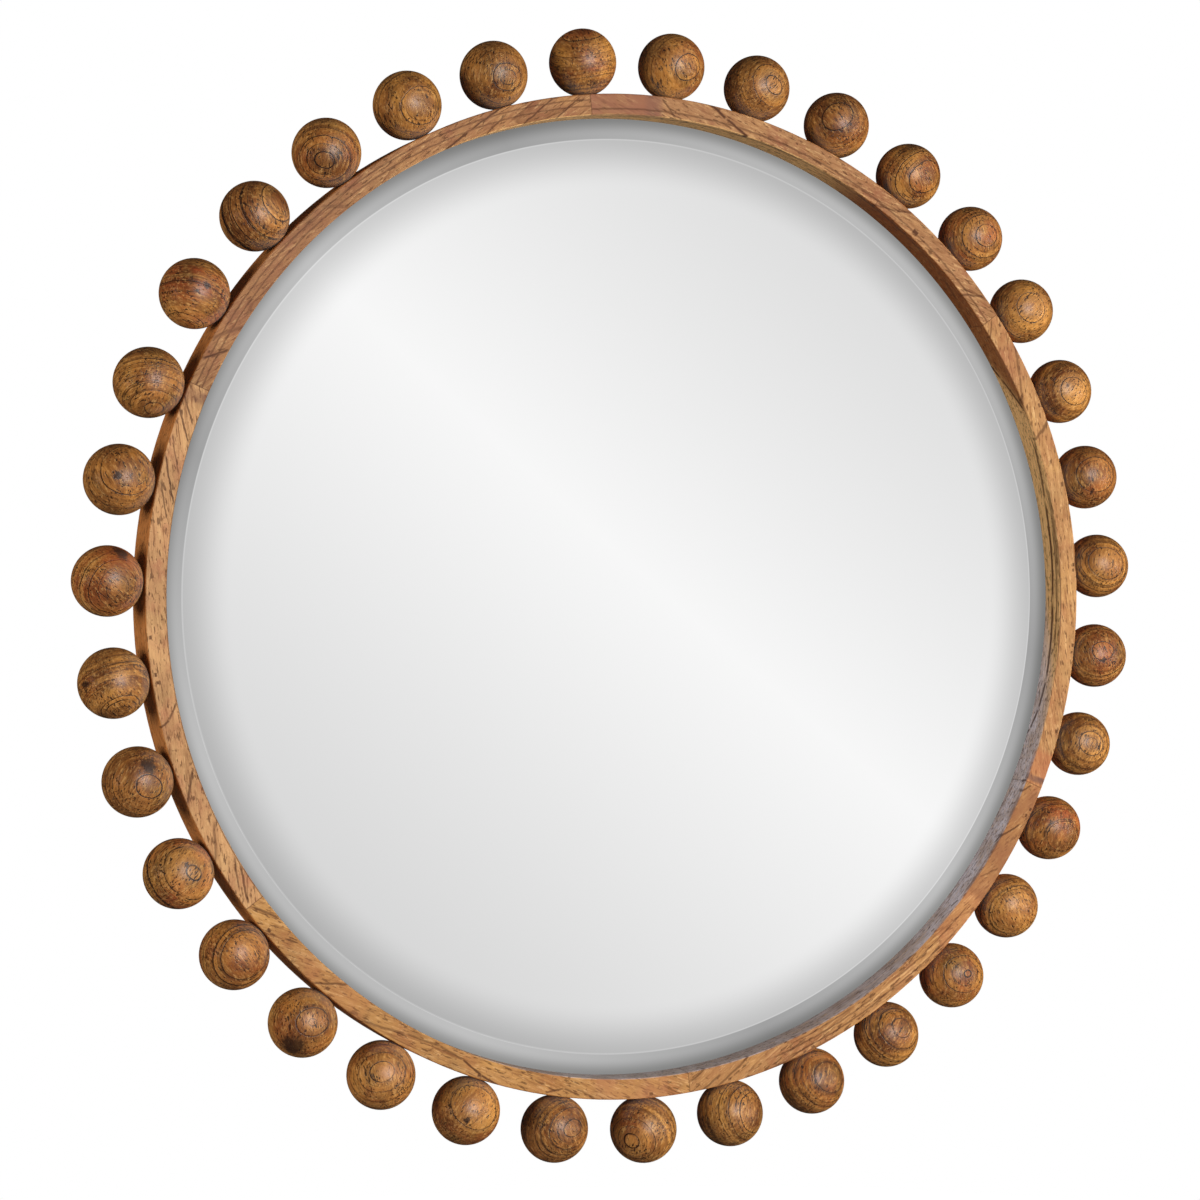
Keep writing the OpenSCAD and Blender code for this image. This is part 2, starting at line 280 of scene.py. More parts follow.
# Dark lines on the ring's front: the angle and the height of each end, the width in millimetres and the
# darkness. Angles run anticlockwise from the right, and heights from 0 at the inner edge to 1 at the outer.
LINES = [
    (80.6, 1.1, 78.0, 0.5, 1.3, 1.0), (78.2, 0.55, 74.5, -0.1, 1.2, 1.0),
    (86.4, 0.9, 84.5, 0.0, 1.0, 0.6), (56.8, -0.1, 53.2, 0.5, 0.9, 0.6),
    (53.5, 0.45, 51.6, 1.0, 1.0, 0.6), (40.2, -0.1, 37.9, 1.0, 1.2, 0.6),
    (152.5, 0.95, 149.8, 0.0, 0.8, 0.8), (150.0, 1.0, 146.8, 0.0, 1.6, 0.3),
    (130.8, 0.9, 127.8, 0.0, 1.6, 0.25), (115.0, -0.1, 110.6, 0.4, 0.9, 0.9),
    (111.0, 0.35, 105.6, 1.05, 0.8, 0.8), (109.3, -0.1, 105.6, 0.7, 0.7, 0.6),
    (104.4, -0.1, 99.3, 1.05, 0.7, 0.75), (100.1, -0.1, 96.2, 0.95, 0.7, 0.7),
    (31.5, 1.1, 27.0, 0.4, 1.6, 0.45), (27.5, 0.5, 23.6, -0.1, 1.1, 0.45),
    (35.2, 0.6, 33.2, -0.1, 0.8, 0.5), (20.9, 1.1, 19.6, 0.35, 1.7, 0.6),
    (20.0, 0.5, 19.2, -0.1, 1.5, 0.5), (17.0, -0.05, -12.0, 0.10, 0.6, 0.5),
    (-29.8, 0.7, -32.8, -0.1, 0.9, 0.8), (-24.9, 0.4, -26.4, -0.1, 0.9, 0.7),
    (-35.8, 0.8, -38.4, 0.1, 0.8, 0.35), (-76.2, -0.1, -81.6, 1.05, 1.0, 0.5),
    (-80.4, 0.4, -83.4, 1.05, 1.1, 0.5), (-82.3, -0.1, -84.6, 0.5, 1.0, 0.5),
    (-41.0, 0.50, -56.0, 0.30, 0.7, 0.4), (-44.0, 0.85, -60.0, 0.55, 0.7, 0.4),
    (-55.0, 0.62, -73.0, 0.75, 0.8, 0.5), (-58.0, 0.35, -75.0, 0.50, 0.8, 0.45),
    (-61.0, 0.12, -72.0, 0.22, 0.7, 0.35), (-64.0, 0.90, -75.0, 0.98, 0.7, 0.4),
    (-98.3, 0.85, -100.6, 0.56, 0.9, 0.6), (-100.4, 0.56, -102.8, 0.9, 0.9, 0.6),
    (-96.8, 0.9, -99.0, 0.5, 0.8, 0.3), (-108.2, 1.05, -111.0, 0.75, 0.9, 0.9),
    (-110.6, 0.8, -113.6, 0.35, 0.9, 0.9), (-113.4, 0.38, -117.0, 0.18, 0.9, 0.45),
    (-116.4, 0.18, -121.4, 0.40, 1.0, 0.4), (-120.8, 0.38, -126.6, 0.95, 1.1, 0.4),
    (-130.0, -0.1, -133.8, 1.05, 1.0, 0.6), (-141.5, 0.0, -144.7, 0.7, 1.0, 0.5),
    (-145.0, 0.75, -149.6, 0.0, 0.9, 0.7), (-146.8, 0.75, -150.6, 0.05, 0.8, 0.5),
    (-151.0, 0.95, -155.2, 0.1, 1.2, 0.4), (-157.8, 1.0, -161.8, 0.05, 1.1, 0.6),
    (-166.8, 1.05, -167.4, 0.55, 0.9, 0.7), (-167.3, 0.6, -169.4, -0.05, 0.9, 0.6),
    (-191.0, 0.0, -196.8, 1.0, 0.8, 0.8), (-189.5, 0.25, -194.0, 0.9, 0.7, 0.6),
    (-198.2, 0.0, -202.0, 1.05, 0.8, 0.8), (-200.4, 0.1, -203.4, 1.05, 0.8, 0.7),
    (-194.6, 0.1, -199.0, 0.95, 0.6, 0.5),
]

# Small knots and pin holes on the ring's front: the angle, the height, the size in millimetres, the darkness
SPOTS = [
    (49.8, 0.32, 2.3, 1.0), (45.2, 0.2, 0.9, 0.7), (34.0, 0.82, 1.2, 0.7), (23.0, 0.85, 1.3, 0.6),
    (12.9, 0.8, 1.4, 0.6), (2.9, 0.84, 1.2, 0.8), (2.3, 0.8, 1.0, 0.7), (-6.9, 0.86, 1.2, 0.8),
    (-7.7, 0.82, 0.9, 0.7), (-17.6, 0.8, 1.4, 0.6), (-27.7, 0.84, 1.3, 0.8), (-28.6, 0.78, 1.2, 0.7),
    (-68.4, 0.85, 1.3, 0.6), (-69.6, 0.88, 1.3, 0.6), (-79.6, 0.8, 1.2, 0.5), (-89.6, 0.8, 1.5, 0.6),
    (-111.0, 0.8, 1.2, 0.9), (-131.8, 0.7, 1.3, 0.7), (-141.3, 0.75, 1.3, 0.9), (-171.6, 0.74, 1.1, 0.9),
    (-172.5, 0.76, 1.2, 0.9), (-176.6, 0.84, 1.3, 0.8), (151.3, 0.8, 1.0, 0.5), (122.0, 0.7, 0.8, 0.5),
    (68.6, 0.6, 0.9, 0.6), (64.0, 0.8, 0.9, 0.5), (58.6, 0.72, 0.9, 0.5),
]

# Stretches of the ring's front that took the stain differently: two angles, a tint and how strongly it shows
PATCHES = [
    (87.5, 96.5, (150, 98, 74), 0.75), (85.8, 88.8, (128, 86, 72), 0.6),
    (155.4, 157.4, (112, 70, 58), 0.85), (-28.0, -20.0, (172, 104, 70), 0.55),
    (-24.6, -23.5, (92, 66, 62), 0.9), (26.0, 32.0, (160, 102, 72), 0.35),
    (-97.0, -87.0, (176, 118, 82), 0.45), (-48.0, -37.0, (180, 118, 78), 0.35),
    (128.0, 150.0, (152, 100, 72), 0.3), (-137.0, -126.0, (186, 122, 76), 0.3),
    (-41.0, -25.0, (140, 92, 60), 0.75),
]

# Dark lines on the ring's inner wall, in the same form, but with depths in millimetres from the front edge
WALL_LINES = [
    (19.0, 6.0, 11.0, 12.0, 1.6, 0.8), (12.0, 12.0, -2.0, 14.5, 1.7, 1.0),
    (-1.0, 14.5, -12.0, 14.0, 1.7, 1.0), (-11.6, 14.0, -15.4, 18.0, 1.7, 1.0),
    (-15.2, 17.5, -18.0, 25.0, 1.5, 1.0), (-17.8, 24.0, -20.2, 38.0, 1.3, 1.0),
    (32.0, 38.0, 27.5, 20.0, 1.5, 1.0), (27.8, 21.0, 23.0, 2.0, 1.5, 0.9),
    (9.0, 7.0, -9.0, 6.0, 1.1, 0.7), (-24.6, 0.0, -24.9, 9.0, 1.6, 0.9),
    (-32.0, 0.0, -33.5, 6.0, 1.2, 0.8), (-42.2, 4.0, -43.4, 9.0, 1.2, 0.8),
]

# The lists give a mark's dark core. Its soft edges make it this much wider, and this power makes it darker.
MARK_WIDTH = 1.6
MARK_POWER = 0.6

# Zones of painted shade, painted light and painted sheen on the inner wall, in degrees. Each pair gives where
# the zone's strength is 0 and where it is full.
SHADE_START = (19.5, 25.5)
SHADE_END = (68.0, 54.0)
RIGHT_PAINTED_LIGHT = ((-40.0, -8.0), (44.0, 26.0))
TOP_PAINTED_LIGHT = ((54.0, 64.0), (125.0, 105.0))
PAINTED_SHEEN_START = (-120.0, -95.0)
PAINTED_SHEEN_END = (-8.0, -24.0)
PAINTED_SHEEN_FULL = (-60.0, -36.0)

# How many degrees the slanting ends of two zones shift with each millimetre of depth
SHADE_SLANT = -0.25
PAINTED_SHEEN_SLANT = -0.4


def segment_middle(i):
    """The angle of the middle of segment i, in degrees."""
    return FIRST_JOINT + (i - 0.5) * SEGMENT_SWEEP


def on_segment(i, *angles):
    """Angles as seen from the middle of segment i, and whether what lies between them belongs to it."""
    turned = [(angle - segment_middle(i) + 180) % 360 - 180 for angle in angles]
    return turned, abs(sum(turned) / 2) <= SEGMENT_SWEEP / 2


def arc(degrees):
    """The length of an arc on the ring's middle line, in millimetres."""
    return math.radians(degrees) * RING_MIDDLE * MM


def ring_marks(tree, strokes, i, marks, height, turn, out):
    """All dark marks on segment i, as one value from 0 to 1.

    Turn and out are the place round and across the ring, and height is what a height of 1 in the list means,
    all in millimetres.
    """
    total = 0.0
    for first_angle, first_height, last_angle, last_height, width, darkness in marks:
        (first, last), belongs = on_segment(i, first_angle, last_angle)
        if not belongs:
            continue
        run = arc(last - first)
        rise = (last_height - first_height) * height
        lean = math.atan2(rise, run)
        width = width * MARK_WIDTH
        half = max(math.hypot(run, rise) / 2, width)
        mark = tree.node("Group", {"node_tree": strokes}, Round=turn, Out=out,
                         Middle_Round=arc((first + last) / 2),
                         Middle_Out=(first_height + last_height) / 2 * height,
                         Cosine=math.cos(lean), Sine=math.sin(lean), Half=half, Width=width)
        total = tree.math("MAXIMUM", total, tree.times(mark.outputs[0], darkness ** MARK_POWER))
    return total


def ring_walls(tree, depth, radius, angle):
    """Masks of the inner and the outer wall, and of the inner wall's zones of painted shade, painted light
    and painted sheen.
    """
    outer = tree.step(radius, RING_OUTER - 0.0010, RING_OUTER - 0.0003)
    inner = tree.step(radius, RING_INNER + 0.0008, RING_INNER + 0.0002)
    shade = tree.times(tree.step(tree.linear(depth, SHADE_SLANT, angle), *SHADE_START),
                       tree.step(angle, *SHADE_END))
    painted_light = tree.add(tree.between(angle, *RIGHT_PAINTED_LIGHT), tree.between(angle, *TOP_PAINTED_LIGHT))
    painted_sheen_and_coat = tree.times(tree.step(tree.linear(depth, PAINTED_SHEEN_SLANT, angle), *PAINTED_SHEEN_END),
                      tree.step(angle, *PAINTED_SHEEN_START))
    painted_sheen_and_coat = tree.times(painted_sheen_and_coat, tree.linear(tree.step(angle, *PAINTED_SHEEN_FULL), 0.35, 0.65))
    return inner, outer, tree.times(inner, shade), tree.times(inner, painted_light), tree.times(inner, painted_sheen_and_coat)


def ring_wood(i, strokes):
    """Straight-grained wood of segment i.

    The grain runs along the segment's middle, so it leaves the ends aslant.
    """
    made, tree, shader = material("ring_wood_%d" % i)
    rng = random.Random(RING_SEED + i)
    tones = RING_TONES
    place = tree.place()
    x, y, z = tree.split(place)
    radius = tree.length(x, z)
    board = tree.turned(place, (0.0, math.radians(segment_middle(i)), 0.0))
    u, _, t = tree.split(board)
    shift = [rng.uniform(-20, 20) for _ in range(3)]

    def noise(name, vector, moved=shift):
        return tree.noise(vector, *RING_NOISE[name], moved)

    # Year rings round a pith that lies 10 to 14 cm behind the board or in front of it
    pith_u = 0.445 + rng.uniform(-0.02, 0.02)
    pith_y = rng.choice([-1, 1]) * rng.uniform(0.10, 0.14)
    wander = tree.add(tree.about(noise("wide", board), 0.020), tree.about(noise("fine", board), 0.0025))
    slope = tree.times(t, rng.uniform(-0.03, 0.03))
    across = tree.length(tree.minus(u, pith_u), tree.minus(y, pith_y))
    field = tree.add(tree.add(across, slope), wander)
    soft, sharp, _ = growth_lines(tree, field, YEAR_RING, float(i * 100))

    # Slow changes of colour
    cloud = noise("cloud", place)
    gold = noise("gold", place, (shift[1], shift[2], shift[0]))
    plain, red, golden = SEGMENT_COLOURS[i - 1]
    base = tree.mix(tree.step(cloud, 0.46, 0.70), colour(*plain), colour(*red))
    base = tree.tint(base, tree.step(gold, 0.50, 0.68), 0.6, golden)
    base = tree.tint(base, tree.step(gold, 0.48, 0.32), 0.4, tones["drab"])

    # The turned outer wall took more stain. On the inner wall, painted shade darkens the upper right, a
    # painted pale sheen covers the lower right, and painted light makes the right and the top lighter than
    # the front
    depth = tree.linear(y, MM, RING_DEPTH * MM)
    angle = tree.times(tree.math("ARCTAN2", z, x), 180 / math.pi)
    inner, outer, shade, painted_light, painted_sheen_and_coat = ring_walls(tree, depth, radius, angle)
    base = tree.tint(base, outer, 0.88, tones["outer stain"])
    base = tree.tint(base, painted_light, 0.92, tones["painted wall light"])
    base = tree.tint(base, shade, 0.88, tones["shaded wall"])
    painted_sheen_tone = [colour(*tones[name]) for name in ("painted pale sheen", "painted brown sheen")]
    painted_sheen_tone = tree.mix(tree.step(cloud, 0.35, 0.62), *painted_sheen_tone)
    base = tree.mix(tree.times(painted_sheen_and_coat, 0.92), base, painted_sheen_tone)

    # Streaks, year rings, fibres and pores. Where the stain or the painted shade is strong, the streaks are
    # weaker
    bare = tree.linear(tree.math("MAXIMUM", outer, shade), -0.55, 1.0)
    streak = noise("streak", board)
    fibre = noise("fibre", board)
    pores = tree.step(noise("pores", board), 0.58, 0.65)
    fleck = tree.step(noise("fleck", place), 0.66, 0.74)
    base = tree.tint(base, tree.step(streak, 0.44, 0.26), bare, tones["dark streak"])
    base = tree.tint(base, tree.times(tree.step(streak, 0.54, 0.74), bare), 0.6, tones["light streak"])
    base = tree.tint(base, soft, 0.36, tones["late wood"])
    base = tree.tint(base, tree.times(sharp, tree.step(cloud, 0.3, 0.6)), 0.6, tones["year line"])
    base = tree.tint(base, tree.times(tree.step(fibre, 0.52, 0.70), bare), 0.56, tones["light fibre"])
    base = tree.tint(base, tree.step(fibre, 0.48, 0.32), 0.58, tones["dark fibre"])
    base = tree.tint(base, pores, 0.70, tones["pore"])
    base = tree.tint(base, fleck, 0.5, tones["fleck"])

    # What marks this segment: patches of stain, dark lines and small knots, all a little ragged
    turn = tree.times(tree.math("ARCTAN2", t, u), RING_MIDDLE * MM)
    turn = tree.add(turn, tree.about(noise("ragged round", place), 3.4))
    out = tree.times(tree.minus(radius, RING_INNER), MM)
    out = tree.add(out, tree.about(noise("ragged out", place, (shift[2], 1.0, 4.0)), 2.0))
    on_front = tree.times(tree.step(depth, 6.0, 2.0), tree.step(cloud, 0.2, 0.6))
    for first_angle, last_angle, tint, strength in PATCHES:
        (first, last), belongs = on_segment(i, first_angle, last_angle)
        if not belongs:
            continue
        low = arc(first)
        high = arc(last)
        edge = min(8.0, (high - low) / 3)
        where = tree.between(turn, (low, low + edge), (high, high - edge))
        base = tree.tint(base, tree.times(where, on_front), strength, tint)
    front_marks = LINES + [(angle, up, angle, up, size, darkness) for angle, up, size, darkness in SPOTS]
    front = ring_marks(tree, strokes, i, front_marks, RING_WIDTH * MM, turn, out)
    wall = ring_marks(tree, strokes, i, WALL_LINES, 1.0, turn, depth)
    marks = tree.math("MAXIMUM", tree.times(front, tree.step(depth, 9.0, 3.0)), tree.times(wall, inner))
    base = tree.tint(base, marks, tree.linear(fibre, 0.4, 0.70), tones["mark"])

    # The glue line between two segments
    half = math.radians(SEGMENT_SWEEP / 2)
    gap = tree.minus(tree.times(u, math.sin(half)), tree.times(tree.math("ABSOLUTE", t), math.cos(half)))
    base = tree.tint(base, tree.step(gap, 0.0006, 0.0001), 0.65, tones["seam"])

    dents = tree.add(tree.times(pores, 0.6), tree.times(marks, 0.8))
    height = tree.minus(tree.times(fibre, 0.4), dents)
    roughness = tree.add(tree.linear(fibre, 0.2, 0.42), tree.times(outer, 0.30))
    # The zone of the painted sheen also gets a glossy coat
    tree.fill(shader, Base_Color=base, Normal=tree.bump(height, 0.30, GRAIN_RELIEF), Roughness=roughness,
              Coat_Weight=painted_sheen_and_coat, Coat_Roughness=0.22, Specular_IOR_Level=0.22)
    return made


# Where the year rings of each ball close to an eye, as seen from the front: how far right and up from the
# ball's middle, and the radius of the first ring, all as shares of the ball's radius
EYES = [
    (0.00, 0.95, 0.50), (0.55, 0.00, 0.38), (0.55, 0.10, 0.26), (0.05, 0.30, 0.42), (0.60, -0.05, 0.75),
    (0.55, 0.10, 0.35), (0.35, 0.12, 0.42), (0.50, 0.00, 0.42), (0.40, 0.10, 0.55), (0.35, 0.10, 0.50),
    (0.30, 0.15, 0.30), (0.45, 0.00, 0.36), (0.50, -0.30, 0.90), (0.40, -0.20, 0.90), (0.50, 0.05, 0.12),
    (0.50, 0.20, 0.60), (0.60, 0.10, 0.45), (0.85, 0.00, 0.60), (-0.35, -0.35, 0.20), (0.55, 0.00, 0.25),
    (0.30, 0.10, 0.60), (0.05, 0.10, 0.30), (0.30, 0.00, 0.40), (0.40, 0.00, 0.65), (0.45, 0.00, 0.20),
    (0.35, -0.15, 0.32), (0.20, -0.80, 0.50), (0.30, -0.20, 0.70), (0.35, 0.35, 0.70), (0.15, -0.75, 0.25),
    (-0.30, -0.90, 0.50), (0.75, 0.45, 0.55), (-0.05, -0.20, 0.25), (0.45, 0.00, 0.55), (0.45, -0.05, 0.38),
]

# Dark knots, by the ball's number: how far right and up, the size, and how rusty the wood round it is
KNOTS = {
    9: (0.20, -0.45, 0.09, 0.4),
    11: (0.30, -0.15, 0.08, 0.2),
    21: (0.00, -0.30, 0.09, 0.0),
    23: (-0.30, -0.66, 0.36, 0.2),
    25: (0.20, 0.26, 0.08, 0.0),
    26: (0.32, 0.45, 0.22, 0.1),
    27: (-0.76, -0.05, 0.14, 0.3),
    28: (0.36, 0.80, 0.26, 1.0),
    29: (-0.05, 0.08, 0.09, 0.0),
    31: (0.35, 0.25, 0.10, 0.3),
    33: (0.42, 0.00, 0.08, 0.0),
}
NO_KNOT = (0.0, 0.0, 0.0, 0.0)
LEAST_KNOT = 0.0001

# How rusty some balls are. The others get a random value up to MOST_RUST.
RUSTY = {6: 0.7, 13: 0.8, 15: 0.7, 1: 0.6, 31: 1.0, 25: 0.8, 28: 0.6, 11: 0.6, 22: 0.5}
MOST_RUST = 0.4

# Colours of the balls' wood
BALL_TONES = {
    "dark": (118, 69, 30),
    "plain": (182, 116, 55),
    "olive": (138, 102, 47),
    "rust": (164, 78, 36),
    "gold": (208, 142, 64),
    "dark ring": (92, 52, 26),
    "light ring": (222, 160, 84),
    "late wood": (84, 46, 24),
    "thin line": (50, 27, 14),
    "light fibre": (240, 184, 110),
    "dark fibre": (62, 33, 16),
    "line": (36, 18, 10),
    "rusty halo": (160, 74, 30),
    "knot": (38, 21, 15),
}

# Noise in the balls' wood: the repeats per metre, the detail, the roughness and, for some, a shift
BALL_NOISE = {
    "wide": ((34, 34, 16), 2.0),
    "fine": ((190, 190, 60), 2.0),
    "fibre": ((430, 430, 105), 3.0, 0.75),
    "crackle": ((560, 560, 160), 2.0, 0.6),
    "ticks": ((520, 520, 240), 1.0, 0.5, (3.0, 3.0, 3.0)),
    "cloud": ((40, 40, 26), 3.0, 0.55),
    "olive": ((38, 44, 38), 3.0, 0.5, (7.0, 3.0, 1.0)),
    "rust": ((40, 36, 36), 3.0, 0.5, (1.0, 8.0, 4.0)),
    "worn": ((60, 60, 44), 2.0, 0.5, (2.0, 2.0, 9.0)),
    "drawn": ((48, 48, 48), 2.0, 0.5, (5.0, 1.0, 3.0)),
    "knot edge": ((150, 150, 90), 4.0, 0.7),
}

# The finer year rings between the main ones: their spacing as a share of the main ones', and how many times
# more of it their lines take up
THIN_SPACING = 0.36
THIN_THICKNESS = 2.2


def ball_centre(i):
    """The middle of ball i. The first one is half a step left of the top, and the rest follow clockwise."""
    angle = math.radians(90 + 180 / BALL_COUNT - (i - 1) * 360 / BALL_COUNT)
    return Vector((BALL_CIRCLE * math.cos(angle), BALL_Y, BALL_CIRCLE * math.sin(angle)))


def towards(i, right, up):
    """The direction from ball i's middle to the point of its surface that shows so far right and up of it."""
    to_viewer = (CAMERA_PLACE - ball_centre(i)).normalized()
    across = Vector((0, 0, 1)).cross(to_viewer).normalized()
    depth = math.sqrt(max(0.0, 1 - right ** 2 - up ** 2))
    return (across * right + to_viewer.cross(across) * up + to_viewer * depth).normalized()


def ball_group():
    """The pattern that all balls share.

    In Place, X points at the eye of the year rings and Z along the grain.
    """
    inputs = {"Place": "Vector", "Shift": "Vector", "Pith": "Float", "First": "Float", "Spacing": "Float",
              "Seed": "Float", "Gold": "Float", "Rust": "Float", "Knot": "Vector", "Knot Size": "Float",
              "Knot Rust": "Float"}
    outputs = {"Colour": "Color", "Roughness": "Float", "Height": "Float"}
    group, tree, given, results = new_group("ball_pattern", inputs, outputs)
    tones = BALL_TONES
    place = given["Place"]
    wood = tree.vectors("ADD", place, given["Shift"])[0]

    def noise(name):
        return tree.noise(wood, *BALL_NOISE[name])

    # Year rings. The slope is 0 at the eye, where the surface runs along them, and 1 a quarter turn from it
    x, y, z = tree.split(place)
    slope = tree.math("MINIMUM", tree.math("DIVIDE", tree.length(y, z), BALL_R), 1.0)
    wander = tree.add(tree.about(noise("wide"), 0.0030), tree.about(noise("fine"), 0.0009))
    bend = tree.times(wander, tree.linear(slope, 1.1, 0.15))
    across = tree.length(tree.add(x, given["Pith"]), y)
    field = tree.minus(tree.add(across, bend), given["First"])
    half_line = tree.linear(slope, 0.060, 0.012)
    soft, sharp, ring = growth_lines(tree, field, given["Spacing"], given["Seed"], half_line)
    close = tree.times(given["Spacing"], THIN_SPACING)
    half_line = tree.times(half_line, THIN_THICKNESS)
    _, thin_line, thin_ring = growth_lines(tree, field, close, given["Seed"], half_line)

    # Slow changes of colour, and the tone of each year ring
    cloud = noise("cloud")
    base = tree.mix(tree.step(cloud, 0.26, 0.74), colour(*tones["dark"]), colour(*tones["plain"]))
    base = tree.tint(base, tree.step(noise("olive"), 0.50, 0.66), 0.5, tones["olive"])
    base = tree.tint(base, tree.step(noise("rust"), 0.60, 0.40), given["Rust"], tones["rust"])
    base = tree.tint(base, tree.step(cloud, 0.36, 0.72), given["Gold"], tones["gold"])
    base = tree.tint(base, tree.step(ring, 0.50, 0.95), 0.30, tones["dark ring"])
    base = tree.tint(base, tree.step(ring, 0.40, 0.05), 0.35, tones["light ring"])
    base = tree.tint(base, tree.step(thin_ring, 0.55, 0.95), 0.42, tones["dark ring"])

    # Lines, fibres and small cracks. The fine ones show where the ball is worn
    fibre = noise("fibre")
    crackle = noise("crackle")
    worn = tree.step(noise("worn"), 0.36, 0.54)
    cracks = tree.times(tree.step(crackle, 0.58, 0.63), tree.linear(worn, 0.8, 0.2))
    cracks = tree.math("MAXIMUM", cracks, tree.step(noise("ticks"), 0.66, 0.71))
    drawn = tree.linear(tree.step(noise("drawn"), 0.34, 0.58), 0.45, 0.55)
    base = tree.tint(base, soft, 0.50, tones["late wood"])
    base = tree.tint(base, tree.times(thin_line, worn), 0.92, tones["thin line"])
    base = tree.tint(base, tree.step(fibre, 0.50, 0.70), 0.46, tones["light fibre"])
    base = tree.tint(base, tree.step(fibre, 0.48, 0.30), 0.54, tones["dark fibre"])
    base = tree.tint(base, cracks, 0.9, tones["line"])
    base = tree.tint(base, sharp, drawn, tones["line"])

    # The knot, with a ragged edge, in a rusty surround
    far = tree.vectors("DISTANCE", place, given["Knot"])["Value"]
    far = tree.add(far, tree.about(noise("knot edge"), 0.016))
    share = tree.math("DIVIDE", far, given["Knot Size"])
    share = tree.add(share, tree.about(crackle, 1.6))
    halo = tree.times(tree.step(share, 3.4, 1.0), given["Knot Rust"])
    knot = tree.step(share, 1.35, 0.65)
    base = tree.tint(base, halo, 0.6, tones["rusty halo"])
    base = tree.tint(base, knot, 0.85, tones["knot"])

    dents = tree.add(tree.times(cracks, 0.5), tree.times(sharp, 0.6))
    dents = tree.add(dents, tree.times(knot, 0.5))
    tree.give(results["Colour"], base)
    tree.give(results["Roughness"], tree.linear(fibre, 0.18, 0.31))
    tree.give(results["Height"], tree.minus(tree.times(fibre, 0.4), dents))
    return group


def ball_wood(i, group):
    """Ball i's own cut of the pattern, turned so that the eye of its year rings lies where it was seen."""
    made, tree, shader = material("ball_wood_%02d" % i)
    rng = random.Random(BALL_SEED + i)
    right, up, first_ring = EYES[i - 1]
    eye = towards(i, right, up)
    grain = (Vector((0, 0, 1)) - eye * eye.z).normalized()
    grain.rotate(Matrix.Rotation(rng.uniform(-0.9, 0.9), 3, eye))
    axes = Matrix((eye, grain.cross(eye), grain))
    pith = rng.uniform(0.05, 0.11)
    shift = [rng.uniform(-5, 5) for _ in range(3)]
    spacing = rng.uniform(0.0045, 0.0075)
    gold = rng.uniform(0.2, 0.9)
    rust = RUSTY.get(i, rng.uniform(0, MOST_RUST))
    right, up, size, knot_rust = KNOTS.get(i, NO_KNOT)
    knot = axes @ towards(i, right, up) * BALL_R if size else Vector()

    from_centre = tree.vectors("SUBTRACT", tree.place(), ball_centre(i))[0]
    pattern = tree.node("Group", {"node_tree": group}, Place=tree.turned(from_centre, axes.to_euler()),
                        Shift=shift, Pith=pith, First=pith + BALL_R * math.sqrt(1 - first_ring ** 2),
                        Spacing=spacing, Seed=i * 50.0, Gold=gold, Rust=rust, Knot=knot,
                        Knot_Size=max(size * BALL_R, LEAST_KNOT), Knot_Rust=knot_rust).outputs
    tree.fill(shader, Base_Color=pattern["Colour"], Roughness=pattern["Roughness"],
              Normal=tree.bump(pattern["Height"], 0.55, GRAIN_RELIEF), Specular_IOR_Level=0.95)
    return made


# Greys of the mirror: its middle, the painted shade of its rim inside the bevel, the painted shade of the
# bevel, the painted shadow at its edge under the ring's lip, and the painted highlight line where the bevel
# begins
MIRROR_TONES = {
    "middle": (253, 253, 253),
    "painted rim shade": (212, 212, 212),
    "bevel": (196, 196, 196),
    "edge": (150, 150, 149),
    "bevel line": (240, 240, 240),
}
# The painted shade of the rim rises between these radii, and the painted shadow under the lip begins at the
# outer one
MIRROR_SHADE_START = 0.385
MIRROR_SHADE_END = BEVEL_INNER + 0.004


def mirror_silver():
    """Silvered glass: clear in the middle, with painted shade towards the rim and on the bevel, a painted
    shadow under the ring's lip and a painted highlight line where the bevel begins.
    """
    made, tree, shader = material("mirror_glass")
    tones = MIRROR_TONES
    x, _, z = tree.split(tree.place())
    radius = tree.length(x, z)
    # Painted shade grows towards the rim and covers the bevel
    base = tree.mix(tree.step(radius, MIRROR_SHADE_START, MIRROR_SHADE_END), colour(*tones["middle"]), colour(*tones["painted rim shade"]))
    base = tree.tint(base, tree.step(radius, BEVEL_INNER - 0.0006, BEVEL_INNER + 0.0004), 1.0, tones["bevel"])
    # Painted shadow under the ring's lip
    base = tree.tint(base, tree.step(radius, MIRROR_SHADE_END, RING_INNER), 1.0, tones["edge"])
    # A painted highlight line where the bevel begins
    line = tree.between(radius, (BEVEL_INNER - 0.0016, BEVEL_INNER - 0.0006),
                        (BEVEL_INNER + 0.0006, BEVEL_INNER - 0.0002))
    base = tree.tint(base, line, 0.5, tones["bevel line"])
    tree.fill(shader, Base_Color=base, Metallic=1.0, Roughness=0.0)
    return made


def metal(name, tone, dark, roughness):
    """Plated steel with a fine brushed grain and faint blotches."""
    made, tree, shader = material(name)
    place = tree.place()
    grain = tree.noise(place, (900, 900, 120), 3.0, 0.5, (3.0, 1.0, 2.0))
    blotch = tree.noise(place, (90, 90, 90), 2.0, 0.5, (5.0, 2.0, 8.0))
    base = tree.mix(tree.step(blotch, 0.35, 0.75), colour(*tone), colour(*dark))
    base = tree.tint(base, grain, 0.2, dark)
    tree.fill(shader, Base_Color=base, Normal=tree.bump(grain, 0.2, 0.0001),
              Roughness=tree.linear(blotch, 0.15, roughness), Metallic=0.7)
    return made


